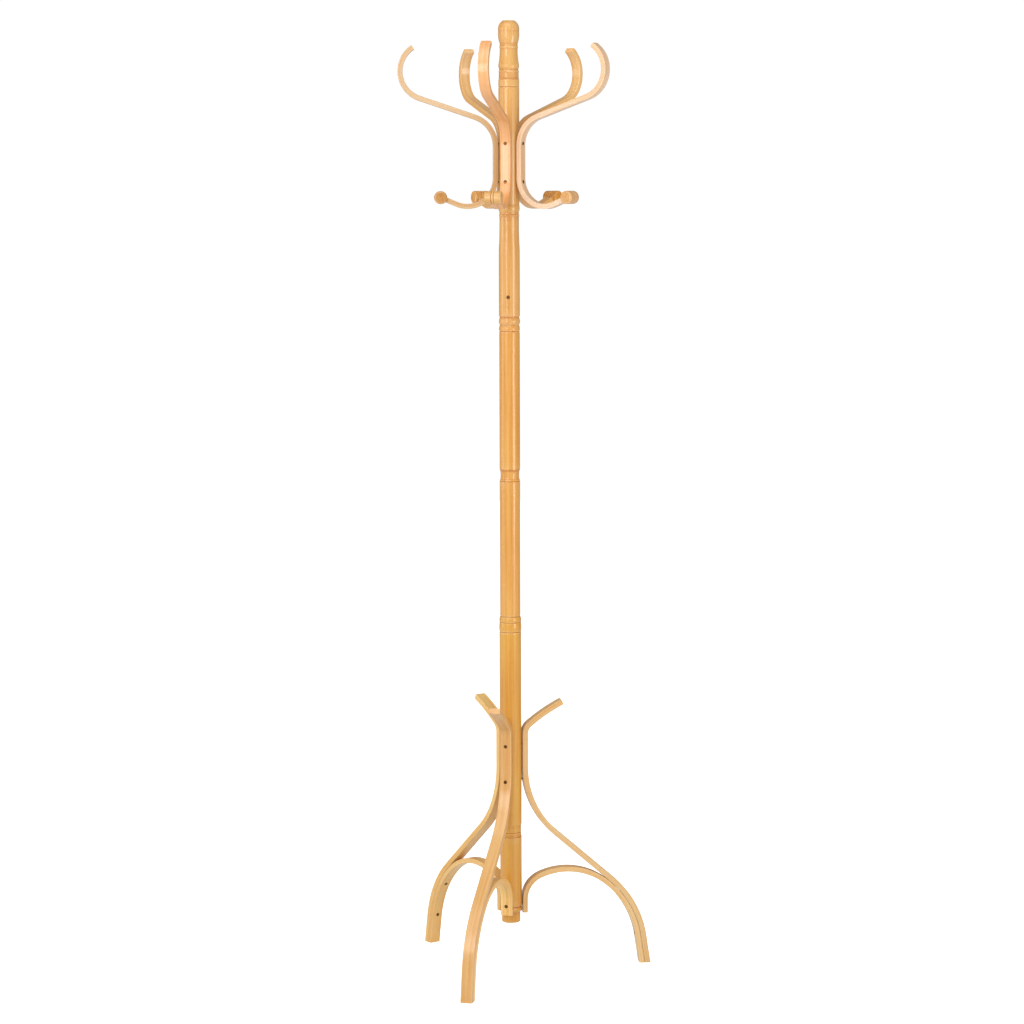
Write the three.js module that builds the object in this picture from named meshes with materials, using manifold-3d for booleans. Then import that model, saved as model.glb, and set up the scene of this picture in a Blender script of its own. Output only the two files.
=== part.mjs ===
// A standing coat rack in turned and bent wood, in millimetres and degrees, +Z up.
//
// The origin is on the floor, under the axis of the pole. The pole is turned in three
// sections. The top section is the crown: it carries five bent hooks and turns on the
// spigot of the middle section. The bottom section stands on three bent legs, each with a
// bent brace that arches from the foot of the pole to the inside of the leg.
//
// Every bent strip lies in an upright plane through the pole's axis. It is shaped in a
// station frame, x outward from the axis and z up, and then turned to its azimuth. An
// azimuth is counted from -Y, the front, towards +X.
import * as THREE from 'three';
import { mergeVertices } from 'three/addons/utils/BufferGeometryUtils.js';
import Module from 'manifold-3d';

const wasm = await Module();
wasm.setup();

// Pole: the three sections, end to end.
const POLE_CLEAR_OF_FLOOR = 93.5;
const BOTTOM_LENGTH = 607;
const MIDDLE_LENGTH = 567.3;
const TOP_LENGTH = 582.2;
const BOTTOM_RADIUS = 21.2;
const MIDDLE_RADIUS = 19.8;
const TOP_RADIUS = 20;
const BALL_RADIUS = 20;
const NECK_RADIUS = 17.1;
const FOOT_RADIUS = 18.3;
const GROOVE_DEPTH = 1.3;
const GROOVE_HALF = 1.1;

// The glued joint between the bottom and middle sections.
const TENON_RADIUS = 9;
const TENON_LENGTH = 58;

// The turning joint between the middle and top sections. The retaining screw runs in a
// groove round the spigot.
const SPIGOT_RADIUS = 10;
const SPIGOT_LENGTH = 78;
const SPIGOT_CLEARANCE = 0.4;
const SPIGOT_GROOVE_DEPTH = 2.6;
const RETAINER_RISE = 54.6;
const RETAINER_AZIMUTH = -7;
const RETAINER_PLAY = 0.6;
const RETAINER_END_ROOM = 0.4;

// Gaps: between pieces that touch, at the end of a blind bore, and around a screw.
const GAP = 0.3;
const BORE_END_ROOM = 2;
const SCREW_CLEARANCE = 0.25;

// Hooks: one bent strip each, with a peg across its lower end.
const HOOK_AZIMUTHS = { left: -88, front: -13, front_right: 61, back_right: 139.5, back_left: -155 };
const HOOK_WIDTH = 20;
const HOOK_THICKNESS = 10;
const HOOK_STAND_OFF = 1;
const HOOK_DROP = 238;
const HOOK_STRAIGHT = 61.5;
const HOOK_ROOT_BEND = 58;
const HOOK_ROOT_TURN = 71.3;
const HOOK_RUN = 112;
const HOOK_TIP_BEND = 54;
const HOOK_TIP_TURN = 128.5;
const HOOK_CUP_BEND = 54;
const HOOK_CUP_TURN = 112.6;
const HOOK_CUP_RUN = 33.5;
const HOOK_SCREWS_ABOVE_MIDDLE = [35, -38];

// Pegs: turned, lying across the hook's lower end, which is glued into a mortise.
const PEG_RADIUS = 12.6;
const PEG_LENGTH = 34;
const PEG_ROUND = 3.5;
const PEG_RING_SPREAD = 5;
const MORTISE_DEPTH = 11;

// Legs: one bent strip each, flared outward at the top.
const LEG_AZIMUTHS = { front: -18, right: 100, left: -143 };
const LEG_WIDTH = 23;
const LEG_THICKNESS = 11;
const LEG_STAND_OFF = 0.8;
const LEG_STRAIGHT_TOP = 469;
const LEG_STRAIGHT_BOTTOM = 401;
const LEG_FLARE_BEND = 24;
const LEG_FLARE_TURN = 50.3;
const LEG_TIP_BEND = 334;
const LEG_TIP_TURN = 13.4;
const LEG_KNEE_BEND = 173;
const LEG_KNEE_TURN = 49;
const LEG_RUN = 152;
const LEG_SHIN_BEND = 191.5;
const LEG_SHIN_TURN = 40.3;
const LEG_SCREW_HEIGHTS = [448, 378];

// Braces: one bent strip each, from the foot of the pole over an arch and down the leg.
const BRACE_THICKNESS = 10;
const BRACE_STAND_OFF = 0.7;
const BRACE_POLE_END = 112;
const BRACE_POLE_STRAIGHT = 27;
const BRACE_POLE_BEND = 50;
const BRACE_ARCH_BEND = 130;
const BRACE_POLE_SCREW_RISE = 18;
const BRACE_LEG_SCREW_HEIGHTS = [131, 60];

// Edges and screws.
const EDGE = 0.9;
const SCREW_HEAD_RADIUS = 3.3;
const SCREW_HEAD_DEPTH = 2.4;
const SCREW_RIM = 0.5;
const SCREW_SHANK_RADIUS = 1.8;
const SCREW_TIP_RADIUS = 0.4;
const SCREW_POINT = 4;
const SCREW_SUNK = 0.4;
const POLE_SCREW_LENGTH = 23;
const BRACE_LEG_SCREW_LENGTH = 17;

// Fineness of the faceted solids.
const POLE_SIDES = 20;
const PEG_SIDES = 14;
const SCREW_SIDES = 8;
const HOOK_FACET = 6.5;
const LEG_FACET = 5;

const LOWER_JOINT = POLE_CLEAR_OF_FLOOR + BOTTOM_LENGTH;
const CROWN_JOINT = LOWER_JOINT + MIDDLE_LENGTH;
const POLE_TOP = CROWN_JOINT + TOP_LENGTH;

// The lower shaft of the top section stands a little proud of its radius.
const SHAFT_RADIUS = TOP_RADIUS + 0.2;
const SPIGOT_GROOVE_RADIUS = SPIGOT_RADIUS - SPIGOT_GROOVE_DEPTH;

const wood = (color, roughness) => new THREE.MeshStandardMaterial({ color, roughness, metalness: 0 });
const topWood = wood(0xdfa766, 0.38);
const middleWood = wood(0xdc9d55, 0.38);
const bottomWood = wood(0xd49a4e, 0.4);
const hookWood = wood(0xe2b27a, 0.42);
const pegWood = wood(0xd0904c, 0.42);
const legWood = wood(0xd9a566, 0.42);
const braceWood = wood(0xd3a05f, 0.42);
const screwSteel = new THREE.MeshStandardMaterial({ color: 0x5b4128, roughness: 0.4, metalness: 0.85 });

// ---------------------------------------------------------------- solids

function toSolid(geometry) {
  const bare = geometry.clone();
  bare.deleteAttribute('normal');
  bare.deleteAttribute('uv');
  const merged = mergeVertices(bare, 1e-4);
  return new wasm.Manifold(new wasm.Mesh({
    numProp: 3,
    vertProperties: merged.attributes.position.array,
    triVerts: Uint32Array.from(merged.index.array),
  }));
}

function toGeometry(solid) {
  const mesh = solid.getMesh();
  const geometry = new THREE.BufferGeometry();
  geometry.setAttribute('position', new THREE.BufferAttribute(Float32Array.from(mesh.vertProperties), 3));
  geometry.setIndex(new THREE.BufferAttribute(Uint32Array.from(mesh.triVerts), 1));
  geometry.computeVertexNormals();
  return geometry;
}

function cut(geometry, tools) {
  return toGeometry(tools.reduce((solid, tool) => solid.subtract(toSolid(tool)), toSolid(geometry)));
}

const radians = THREE.MathUtils.degToRad;

// The turn about Z that brings a station frame's x axis to an azimuth.
const stationTurn = (azimuth) => radians(azimuth - 90);

// ---------------------------------------------------------------- turned profiles

// Points from (r0, z0) to (r1, z1) on a curve whose middle stands `bulge` off the chord,
// outward on a stretch that goes up. The start is left out, so that stretches can be chained.
function bow([r0, z0], [r1, z1], bulge, steps = 3) {
  const chord = new THREE.Vector2(r1 - r0, z1 - z0);
  const side = new THREE.Vector2(chord.y, -chord.x).normalize().multiplyScalar(2 * bulge);
  const middle = new THREE.Vector2((r0 + r1) / 2, (z0 + z1) / 2).add(side);
  const curve = new THREE.QuadraticBezierCurve(
    new THREE.Vector2(r0, z0), middle, new THREE.Vector2(r1, z1),
  );
  return curve.getPoints(steps).slice(1).map((point) => [point.x, point.y]);
}

// A V-groove in a round of the given radius.
const groove = (radius, z) => [
  [radius, z - GROOVE_HALF],
  [radius - GROOVE_DEPTH, z],
  [radius, z + GROOVE_HALF],
];

function lathe(profile, sides) {
  const points = profile.map(([radius, z]) => new THREE.Vector2(radius, z));
  return new THREE.LatheGeometry(points, sides).rotateX(Math.PI / 2);
}

function bottomProfile() {
  const base = POLE_CLEAR_OF_FLOOR;
  const joint = LOWER_JOINT;
  const radius = BOTTOM_RADIUS;
  const tenonTop = joint + TENON_LENGTH;
  return [
    // the foot, with an eased lower edge and a bead above it
    [0, base],
    [FOOT_RADIUS - 2, base],
    ...bow([FOOT_RADIUS - 2, base], [FOOT_RADIUS, base + 3], 0.7, 2),
    [FOOT_RADIUS, base + 20],
    [radius - 1.6, base + 22],
    ...bow([radius - 1.6, base + 22], [radius - 1.6, base + 30], 1.4),
    [radius - 1.6, base + 31.5],
    [radius, base + 33],
    // a sunk band between the braces and the legs
    ...groove(radius, base + 171),
    [radius - 0.9, base + 174],
    [radius - 0.9, base + 178],
    ...groove(radius - 0.9, base + 180),
    [radius - 0.9, base + 193],
    [radius, base + 197],
    // two grooves and a rounded shoulder under the joint
    [radius, joint - 34],
    ...groove(radius, joint - 30),
    ...bow([radius, joint - 28], [radius, joint - 13.2], 0.5),
    ...groove(radius, joint - 11),
    ...bow([radius, joint - 9], [radius - 1.4, joint], 0.8),
    // the tenon
    [TENON_RADIUS, joint],
    [TENON_RADIUS, tenonTop - 2],
    [TENON_RADIUS - 2, tenonTop],
    [0, tenonTop],
  ];
}

function middleProfile() {
  const base = LOWER_JOINT + GAP;
  const joint = CROWN_JOINT;
  const radius = MIDDLE_RADIUS;
  const boreTop = LOWER_JOINT + TENON_LENGTH + BORE_END_ROOM;
  const recess = LOWER_JOINT + 265;
  const recessHigh = recess + 22.8;
  const retainer = joint + RETAINER_RISE;
  const slot = SCREW_SHANK_RADIUS + RETAINER_PLAY;
  const spigotTop = joint + SPIGOT_LENGTH;
  return [
    // the mortise for the tenon
    [0, boreTop],
    [TENON_RADIUS + GAP, boreTop],
    [TENON_RADIUS + GAP, base],
    // the eased lower edge
    [radius - 1.2, base],
    ...bow([radius - 1.2, base], [radius, base + 4], 0.4, 2),
    // a hollow band between two grooves
    ...groove(radius, recess),
    ...bow([radius - 1.1, recess + 2], [radius - 1.1, recessHigh - 2], -0.7),
    ...groove(radius, recessHigh),
    // a groove and a rounded shoulder under the joint
    [radius, joint - 14],
    ...groove(radius, joint - 11.6),
    ...bow([radius, joint - 9.5], [radius - 1, joint - GAP], 0.7),
    // the spigot, with the groove for the retaining screw
    [SPIGOT_RADIUS, joint - GAP],
    [SPIGOT_RADIUS, retainer - slot],
    [SPIGOT_GROOVE_RADIUS, retainer - slot],
    [SPIGOT_GROOVE_RADIUS, retainer + slot],
    [SPIGOT_RADIUS, retainer + slot],
    [SPIGOT_RADIUS, spigotTop - 2],
    [SPIGOT_RADIUS - 2, spigotTop],
    [0, spigotTop],
  ];
}

function topProfile() {
  const joint = CROWN_JOINT;
  const top = POLE_TOP;
  const radius = TOP_RADIUS;
  const bore = SPIGOT_RADIUS + SPIGOT_CLEARANCE;
  const boreTop = joint + SPIGOT_LENGTH + BORE_END_ROOM;
  return [
    // the bore for the spigot, with an eased mouth
    [0, boreTop],
    [bore, boreTop],
    [bore, joint + 1],
    [bore + 1, joint],
    // a bead at the joint
    [radius - 1.6, joint],
    ...bow([radius - 1.6, joint], [radius - 1, joint + 14.5], 1.7),
    [radius - 1, joint + 16.5],
    // the lower shaft, thinning to a waist
    [SHAFT_RADIUS, joint + 18.5],
    [SHAFT_RADIUS, top - 438],
    ...bow([SHAFT_RADIUS, top - 438], [radius - 1.2, top - 400], -0.2, 2),
    [radius - 1.2, top - 373.5],
    // a bead under the hooks
    [radius - 0.1, top - 371],
    [radius - 1.4, top - 369],
    [radius - 1.4, top - 365],
    ...bow([radius - 1.4, top - 365], [radius - 0.4, top - 351], 1.2),
    // the shaft behind the hooks, up to a band of two grooves
    [radius - 0.2, top - 349],
    [radius, top - 128.4],
    ...groove(radius, top - 126.1),
    [radius, top - 114],
    ...groove(radius, top - 111.3),
    // a sunk band, then a hollow up to the neck
    [radius - 1, top - 109],
    [radius - 1, top - 98.5],
    [radius - 0.4, top - 97],
    [radius - 1.9, top - 92.8],
    ...bow([radius - 1.9, top - 92.8], [radius - 0.2, top - 84], 0.6, 2),
    ...bow([radius - 0.2, top - 84], [NECK_RADIUS, top - 57], -0.6),
    // the neck, with a small bead
    [NECK_RADIUS, top - 53],
    ...bow([NECK_RADIUS, top - 53], [NECK_RADIUS, top - 47.8], 0.7, 2),
    [NECK_RADIUS, top - 44],
    // the ball, flattened on top
    ...bow([NECK_RADIUS, top - 44], [BALL_RADIUS, top - 20], 1.4),
    ...bow([BALL_RADIUS, top - 20], [0.56 * BALL_RADIUS, top], 3.6, 5),
    [0, top],
  ];
}

// ---------------------------------------------------------------- bent strips

// Walks a centreline in the station frame from a start [x, z] and a heading. Each move is
// { run } for a straight stretch or { bend, turn } for an arc, a turn to the left positive.
// The result is a list of { x, z, heading } stations, with the headings in radians.
function walk([x, z], headingDegrees, moves, facet) {
  let heading = radians(headingDegrees);
  const stations = [{ x, z, heading }];
  for (const { run, bend, turn } of moves) {
    if (run !== undefined) {
      x += run * Math.cos(heading);
      z += run * Math.sin(heading);
      stations.push({ x, z, heading });
      continue;
    }
    const hand = Math.sign(turn);
    const centreX = x - hand * bend * Math.sin(heading);
    const centreZ = z + hand * bend * Math.cos(heading);
    const steps = Math.ceil(Math.abs(turn) / facet);
    const from = heading;
    for (let step = 1; step <= steps; step += 1) {
      heading = from + (radians(turn) * step) / steps;
      x = centreX + hand * bend * Math.sin(heading);
      z = centreZ - hand * bend * Math.cos(heading);
      stations.push({ x, z, heading });
    }
  }
  return stations;
}

// The same walk, back to front.
const reversed = (stations) => [...stations].reverse().map(
  ({ x, z, heading }) => ({ x, z, heading: heading + Math.PI }),
);

// A solid strip along a centreline: its side outline extruded across, with eased edges.
// With onFloor, the last end is cut level at z = 0.
function strip(stations, width, thickness, onFloor = false) {
  const side = (hand) => stations.map(({ x, z, heading }, index) => {
    const point = new THREE.Vector2(
      x - (hand * thickness * Math.sin(heading)) / 2,
      z + (hand * thickness * Math.cos(heading)) / 2,
    );
    if (onFloor && index === stations.length - 1) {
      point.x -= (point.y * Math.cos(heading)) / Math.sin(heading);
      point.y = 0;
    }
    return point;
  });
  const outline = new THREE.Shape([...side(1), ...side(-1).reverse()]);
  const geometry = new THREE.ExtrudeGeometry(outline, {
    depth: width - 2 * EDGE,
    bevelThickness: EDGE,
    bevelSize: EDGE,
    bevelOffset: -EDGE,
    bevelSegments: 1,
  });
  return geometry.translate(0, 0, EDGE - width / 2).rotateX(Math.PI / 2);
}

const hookX = TOP_RADIUS + HOOK_STAND_OFF + HOOK_THICKNESS / 2;
const hookStraightTop = POLE_TOP - HOOK_DROP;
const hookStraightBottom = hookStraightTop - HOOK_STRAIGHT;
const hookMiddle = (hookStraightTop + hookStraightBottom) / 2;

const hookCup = walk([hookX, hookStraightBottom], -90, [
  { bend: HOOK_CUP_BEND, turn: HOOK_CUP_TURN },
  { run: HOOK_CUP_RUN },
], HOOK_FACET);
const hookCrook = walk([hookX, hookStraightBottom], 90, [
  { run: HOOK_STRAIGHT },
  { bend: HOOK_ROOT_BEND, turn: -HOOK_ROOT_TURN },
  { run: HOOK_RUN },
  { bend: HOOK_TIP_BEND, turn: HOOK_TIP_TURN },
], HOOK_FACET);
const pegCentre = hookCup[hookCup.length - 1];

function hookStations() {
  const cup = hookCup.map((station) => ({ ...station }));
  const end = cup[cup.length - 1];
  const back = PEG_RADIUS - MORTISE_DEPTH;
  end.x -= back * Math.cos(end.heading);
  end.z -= back * Math.sin(end.heading);
  return [...reversed(cup), ...hookCrook.slice(1)];
}

const legX = BOTTOM_RADIUS + LEG_STAND_OFF + LEG_THICKNESS / 2;
const legFlare = walk([legX, LEG_STRAIGHT_TOP], 90, [
  { bend: LEG_FLARE_BEND, turn: -LEG_FLARE_TURN },
  { bend: LEG_TIP_BEND, turn: -LEG_TIP_TURN },
], LEG_FACET);
const legDown = walk([legX, LEG_STRAIGHT_TOP], -90, [
  { run: LEG_STRAIGHT_TOP - LEG_STRAIGHT_BOTTOM },
  { bend: LEG_KNEE_BEND, turn: LEG_KNEE_TURN },
  { run: LEG_RUN },
  { bend: LEG_SHIN_BEND, turn: -LEG_SHIN_TURN },
], LEG_FACET);

// A station carried straight on along its heading until it reaches the floor.
function toFloor({ x, z, heading }) {
  return { x: x - (z * Math.cos(heading)) / Math.sin(heading), z: 0, heading };
}

const legStations = [...reversed(legFlare), ...legDown.slice(1), toFloor(legDown[legDown.length - 1])];

// The brace lies against the inside of the leg, so its lower bend shares the leg's centre.
const braceInset = LEG_THICKNESS / 2 + GAP + BRACE_THICKNESS / 2;
const braceX = BOTTOM_RADIUS + BRACE_STAND_OFF + BRACE_THICKNESS / 2;
const shinBend = LEG_SHIN_BEND - braceInset;
const runHeading = LEG_KNEE_TURN - 90;
const shinStart = walk([legX, LEG_STRAIGHT_BOTTOM], -90, [
  { bend: LEG_KNEE_BEND, turn: LEG_KNEE_TURN },
  { run: LEG_RUN },
], LEG_FACET).pop();

// The arch is an arc tangent to the bend at the pole and to the stretch along the leg.
function braceStations() {
  const along = new THREE.Vector2(Math.cos(radians(runHeading)), Math.sin(radians(runHeading)));
  const inward = new THREE.Vector2(along.y, -along.x);
  const shin = new THREE.Vector2(shinStart.x, shinStart.z).addScaledVector(inward, braceInset);
  const bendStart = BRACE_POLE_END + BRACE_POLE_STRAIGHT;
  const poleCentre = new THREE.Vector2(braceX + BRACE_POLE_BEND, bendStart);
  const fromShin = shin.clone().addScaledVector(inward, BRACE_ARCH_BEND).sub(poleCentre);
  const apart = BRACE_ARCH_BEND - BRACE_POLE_BEND;
  const lead = fromShin.dot(along);
  const slide = lead - Math.sqrt(lead ** 2 - fromShin.lengthSq() + apart ** 2);
  const archCentre = fromShin.clone().addScaledVector(along, -slide);
  const bent = THREE.MathUtils.radToDeg(Math.atan2(-archCentre.y, -archCentre.x));
  const poleTurn = 180 - bent;
  return walk([braceX, BRACE_POLE_END], 90, [
    { run: BRACE_POLE_STRAIGHT },
    { bend: BRACE_POLE_BEND, turn: -poleTurn },
    { bend: BRACE_ARCH_BEND, turn: -(90 - poleTurn - runHeading) },
    { run: slide },
    { bend: shinBend, turn: -LEG_SHIN_TURN },
  ], LEG_FACET);
}

const braceBent = braceStations();
const braceFoot = braceBent[braceBent.length - 1];
const bracePath = [...braceBent, toFloor(braceFoot)];

// The centre that the leg's and the brace's lower bends share.
const shinCentre = {
  x: braceFoot.x + shinBend * Math.sin(braceFoot.heading),
  z: braceFoot.z - shinBend * Math.cos(braceFoot.heading),
};

// ---------------------------------------------------------------- screws

// A countersunk wood screw along -x, with the top of its head at x = 0. With room, it is
// the hole for that screw, open at the head.
function screw(length, room = 0) {
  const head = SCREW_HEAD_RADIUS + room;
  const shank = SCREW_SHANK_RADIUS + room;
  const open = room > 0 ? SCREW_SUNK + 1 : 0;
  const profile = [
    [0, -length - room],
    [SCREW_TIP_RADIUS + room, -length - room],
    [shank, SCREW_POINT - length - room],
    [shank, -SCREW_HEAD_DEPTH - room],
    [head, -SCREW_RIM - room],
    [head, open],
    [0, open],
  ];
  return new THREE.LatheGeometry(
    profile.map(([radius, x]) => new THREE.Vector2(radius, x)), SCREW_SIDES,
  ).rotateZ(-Math.PI / 2);
}

// Where a screw sits in its station frame: the top of its head and the way it leaves.
const screwPlace = (x, z, heading) => new THREE.Matrix4()
  .makeTranslation(x, 0, z)
  .multiply(new THREE.Matrix4().makeRotationY(-heading));

// The hole for a screw, in its station frame, or turned to an azimuth for the pole.
const screwHole = ({ length, place }) => screw(length, SCREW_CLEARANCE).applyMatrix4(place);
const poleHoles = (azimuths, screws) => Object.values(azimuths).flatMap(
  (azimuth) => screws.map((each) => screwHole(each).rotateZ(stationTurn(azimuth))),
);

const hookScrews = HOOK_SCREWS_ABOVE_MIDDLE.map((rise, index) => ({
  name: ['screw_upper', 'screw_lower'][index],
  length: POLE_SCREW_LENGTH,
  place: screwPlace(hookX + HOOK_THICKNESS / 2 - SCREW_SUNK, hookMiddle + rise, 0),
}));
const legScrews = LEG_SCREW_HEIGHTS.map((height, index) => ({
  name: ['screw_upper', 'screw_lower'][index],
  length: POLE_SCREW_LENGTH,
  place: screwPlace(legX + LEG_THICKNESS / 2 - SCREW_SUNK, height, 0),
}));
const bracePoleScrew = {
  name: 'pole_screw',
  length: POLE_SCREW_LENGTH,
  place: screwPlace(
    braceX + BRACE_THICKNESS / 2 - SCREW_SUNK, BRACE_POLE_END + BRACE_POLE_SCREW_RISE, 0,
  ),
};
const braceLegScrews = BRACE_LEG_SCREW_HEIGHTS.map((height, index) => {
  const out = Math.asin((height - shinCentre.z) / shinBend);
  const radius = shinBend - BRACE_THICKNESS / 2 + SCREW_SUNK;
  return {
    name: ['leg_screw_upper', 'leg_screw_lower'][index],
    length: BRACE_LEG_SCREW_LENGTH,
    place: screwPlace(
      shinCentre.x + radius * Math.cos(out), shinCentre.z + radius * Math.sin(out), out + Math.PI,
    ),
  };
});
const retainerX = SHAFT_RADIUS - SCREW_SUNK;
const retainer = {
  name: 'crown_retaining_screw',
  length: retainerX - SPIGOT_GROOVE_RADIUS - RETAINER_END_ROOM,
  place: screwPlace(retainerX, CROWN_JOINT + RETAINER_RISE, 0),
};

// ---------------------------------------------------------------- pieces

// A peg across the station plane, with two grooves at its middle and a mortise for the hook.
function peg() {
  const half = PEG_LENGTH / 2;
  const radius = PEG_RADIUS;
  const end = (sign) => [
    [radius - PEG_ROUND, sign * half],
    [radius - 0.3 * PEG_ROUND, sign * (half - 0.3 * PEG_ROUND)],
    [radius, sign * (half - PEG_ROUND)],
  ];
  const profile = [
    [0, -half],
    ...end(-1),
    ...groove(radius, -PEG_RING_SPREAD / 2),
    ...groove(radius, PEG_RING_SPREAD / 2),
    ...end(1).reverse(),
    [0, half],
  ];
  const turned = new THREE.LatheGeometry(
    profile.map(([r, y]) => new THREE.Vector2(r, y)), PEG_SIDES,
  );
  const depth = MORTISE_DEPTH + GAP;
  const mortise = new THREE.BoxGeometry(2 * depth, HOOK_WIDTH + 2 * GAP, HOOK_THICKNESS + 2 * GAP);
  mortise.translate(-PEG_RADIUS, 0, 0);
  return cut(turned, [mortise])
    .rotateY(-pegCentre.heading)
    .translate(pegCentre.x, 0, pegCentre.z);
}

const rack = new THREE.Group();

function addPiece(parent, name, geometry, material) {
  const mesh = new THREE.Mesh(geometry, material);
  mesh.name = name;
  parent.add(mesh);
  return mesh;
}

function addStation(azimuth) {
  const station = new THREE.Group();
  station.rotation.z = stationTurn(azimuth);
  rack.add(station);
  return station;
}

function addScrew(parent, prefix, { name, length, place }) {
  const mesh = addPiece(parent, `${prefix}${name}`, toGeometry(toSolid(screw(length))), screwSteel);
  mesh.applyMatrix4(place);
}

addPiece(rack, 'pole_bottom', cut(lathe(bottomProfile(), POLE_SIDES), [
  ...poleHoles(LEG_AZIMUTHS, [...legScrews, bracePoleScrew]),
]), bottomWood);
addPiece(rack, 'pole_middle', toGeometry(toSolid(lathe(middleProfile(), POLE_SIDES))), middleWood);
addPiece(rack, 'pole_top', cut(lathe(topProfile(), POLE_SIDES), [
  ...poleHoles(HOOK_AZIMUTHS, hookScrews),
  ...poleHoles({ retainer: RETAINER_AZIMUTH }, [retainer]),
]), topWood);
addScrew(addStation(RETAINER_AZIMUTH), '', retainer);

const hookShape = cut(strip(hookStations(), HOOK_WIDTH, HOOK_THICKNESS), hookScrews.map(screwHole));
const pegShape = peg();
for (const [side, azimuth] of Object.entries(HOOK_AZIMUTHS)) {
  const station = addStation(azimuth);
  addPiece(station, `hook_${side}`, hookShape, hookWood);
  addPiece(station, `peg_${side}`, pegShape, pegWood);
  hookScrews.forEach((each) => addScrew(station, `hook_${side}_`, each));
}

const legShape = cut(
  strip(legStations, LEG_WIDTH, LEG_THICKNESS, true),
  [...legScrews, ...braceLegScrews].map(screwHole),
);
const braceShape = cut(
  strip(bracePath, LEG_WIDTH, BRACE_THICKNESS, true),
  [bracePoleScrew, ...braceLegScrews].map(screwHole),
);
for (const [side, azimuth] of Object.entries(LEG_AZIMUTHS)) {
  const station = addStation(azimuth);
  addPiece(station, `leg_${side}`, legShape, legWood);
  addPiece(station, `brace_${side}`, braceShape, braceWood);
  legScrews.forEach((each) => addScrew(station, `leg_${side}_`, each));
  [bracePoleScrew, ...braceLegScrews].forEach((each) => addScrew(station, `brace_${side}_`, each));
}

export default rack;
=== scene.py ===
import math

import bmesh
import bpy
from mathutils import Matrix, Vector


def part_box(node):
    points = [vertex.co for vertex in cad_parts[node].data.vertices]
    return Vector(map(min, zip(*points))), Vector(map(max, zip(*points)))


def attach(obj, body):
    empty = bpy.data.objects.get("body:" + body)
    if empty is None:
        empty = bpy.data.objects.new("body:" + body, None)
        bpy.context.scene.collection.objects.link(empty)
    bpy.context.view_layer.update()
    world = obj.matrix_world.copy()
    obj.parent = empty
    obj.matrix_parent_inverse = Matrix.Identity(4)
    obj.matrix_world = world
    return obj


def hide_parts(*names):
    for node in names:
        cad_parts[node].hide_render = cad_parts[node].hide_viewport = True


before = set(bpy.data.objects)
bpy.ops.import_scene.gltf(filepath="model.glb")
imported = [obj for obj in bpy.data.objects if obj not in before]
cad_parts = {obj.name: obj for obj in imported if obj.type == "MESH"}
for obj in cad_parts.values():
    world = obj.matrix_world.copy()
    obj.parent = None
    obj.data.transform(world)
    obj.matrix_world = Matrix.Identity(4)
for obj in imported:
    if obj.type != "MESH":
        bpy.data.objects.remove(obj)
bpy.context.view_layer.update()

MM = 0.001


def mm(*values):
    """Millimetres as metres."""
    return values[0] * MM if len(values) == 1 else tuple(value * MM for value in values)


# ------------------------------------------------------------------ sizes
# A bend is (radius, degrees), and a turn to the left along the path is positive.

POLE_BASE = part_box("pole_bottom")[0].z
GAP = mm(0.3)
LOWER_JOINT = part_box("pole_middle")[0].z - GAP
CROWN_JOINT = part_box("pole_top")[0].z
POLE_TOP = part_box("pole_top")[1].z

BOTTOM_RADIUS = mm(21.2)
MIDDLE_RADIUS = mm(19.8)
TOP_RADIUS = mm(20)
SHAFT_RADIUS = mm(20.2)
BALL_RADIUS = mm(20)
NECK_RADIUS = mm(17.1)
FOOT_RADIUS = mm(18.3)
GROOVE_DEPTH = mm(1.3)
GROOVE_HALF = mm(1.1)

TENON_RADIUS = mm(9)
TENON_LENGTH = mm(58)
SPIGOT_RADIUS = mm(10)
SPIGOT_LENGTH = mm(78)
SPIGOT_CLEARANCE = mm(0.4)
BORE_END_ROOM = mm(2)
RETAINER_RISE = mm(54.6)
RETAINER_AZIMUTH = -7
RETAINER_SLOT = mm(2.4)
RETAINER_SLOT_RADIUS = mm(7.4)

HOOKS = ("left", "front", "front_right", "back_right", "back_left")
HOOK_WIDTH = mm(20)
HOOK_THICKNESS = mm(10)
HOOK_X = mm(26)
HOOK_STRAIGHT_BOTTOM = POLE_TOP - mm(299.5)
HOOK_STRAIGHT = mm(61.5)
HOOK_SHOULDER = (mm(58), -71.3)
HOOK_RUN = mm(112)
HOOK_CROOK = (mm(54), 128.5)
HOOK_CUP_BEND = (mm(54), 112.6)
HOOK_CUP_RUN = mm(33.5)
HOOK_SCREWS = (HOOK_STRAIGHT_BOTTOM + mm(65.75), HOOK_STRAIGHT_BOTTOM - mm(7.25))

PEG_RADIUS = mm(12.6)
PEG_LENGTH = mm(34)
PEG_ROUND = mm(3.5)
PEG_DOME = mm(0.3)
PEG_RING_SPREAD = mm(5)
MORTISE_DEPTH = mm(11)
MORTISE_ROOM = mm(0.25)

LEGS = ("front", "right", "left")
LEG_WIDTH = mm(23)
LEG_THICKNESS = mm(11)
LEG_X = mm(27.5)
LEG_STRAIGHT_TOP = mm(469)
LEG_STRAIGHT = mm(68)
LEG_FLARE = (mm(24), -50.3)
LEG_FLARE_TIP = (mm(334), -13.4)
LEG_KNEE = (mm(173), 49)
LEG_RUN = mm(152)
LEG_SHIN = (mm(191.5), -40.3)
LEG_SCREWS = mm(448, 378)

BRACE_THICKNESS = mm(10)
BRACE_X = mm(26.9)
BRACE_POLE_END = mm(112)
BRACE_POLE_STRAIGHT = mm(27)
BRACE_POLE_BEND = mm(50)
BRACE_ARCH_BEND = mm(130)
BRACE_POLE_SCREW = mm(130)
BRACE_LEG_SCREWS = mm(131, 60)

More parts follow.
